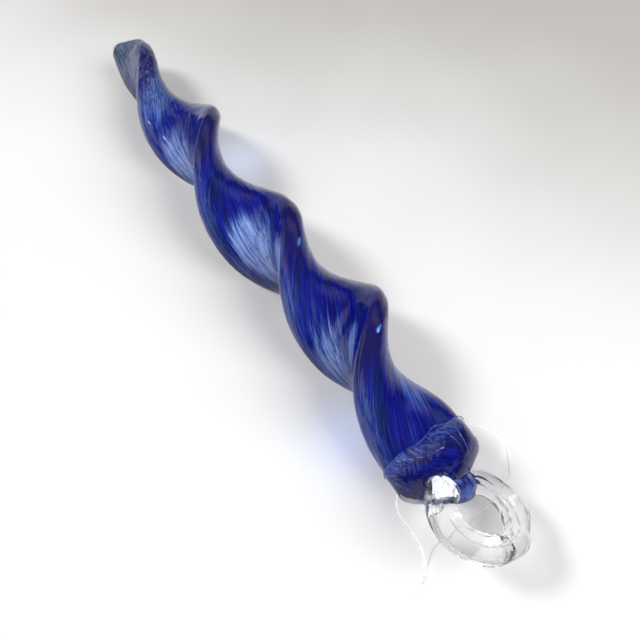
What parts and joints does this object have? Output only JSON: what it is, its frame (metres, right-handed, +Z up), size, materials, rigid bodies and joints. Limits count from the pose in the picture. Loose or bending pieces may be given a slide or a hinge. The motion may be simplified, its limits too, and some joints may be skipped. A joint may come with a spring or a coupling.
{
  "type": "twisted glass icicle ornament",
  "caption": "Flat-lobed cobalt glass bar twisted along its length, cased in clear glass, with a clear hanging ring and a knotted loop of nylon line.",
  "frame": {"origin": "middle of the glass's footprint, on the table that it lies on", "axes": "+X along the body from the tip to the hanging ring, +Z up from the table, +Y to the side where the ring's strand leaves the glass end"},
  "size_m": [0.1976, 0.0381, 0.0245],
  "materials": {
    "cobalt_glass": "deep cobalt blue glass with drawn white frit streaks, fire polished",
    "casing_glass": "clear glass, fire polished",
    "clear_glass": "clear glass, fire polished, with cords and seeds",
    "nylon_line": "clear nylon monofilament"
  },
  "bodies": {
    "glass": {"cobalt_core": "cobalt_glass", "clear_casing": "casing_glass", "clear_end": "clear_glass", "hanging_ring": "clear_glass", "ring_seal": "clear_glass"},
    "line_loop": {"hanging_line": "nylon_line", "line_knot": "nylon_line", "line_tag_long": "nylon_line", "line_tag_short": "nylon_line"}
  },
  "joints": [
    {"name": "line_swing", "type": "hinge", "parent": "glass", "child": "line_loop", "pos_m": [0.0842, 0.0085, 0.0101], "axis": [0, 0, 1], "range_deg": [-8, 15]}
  ]
}
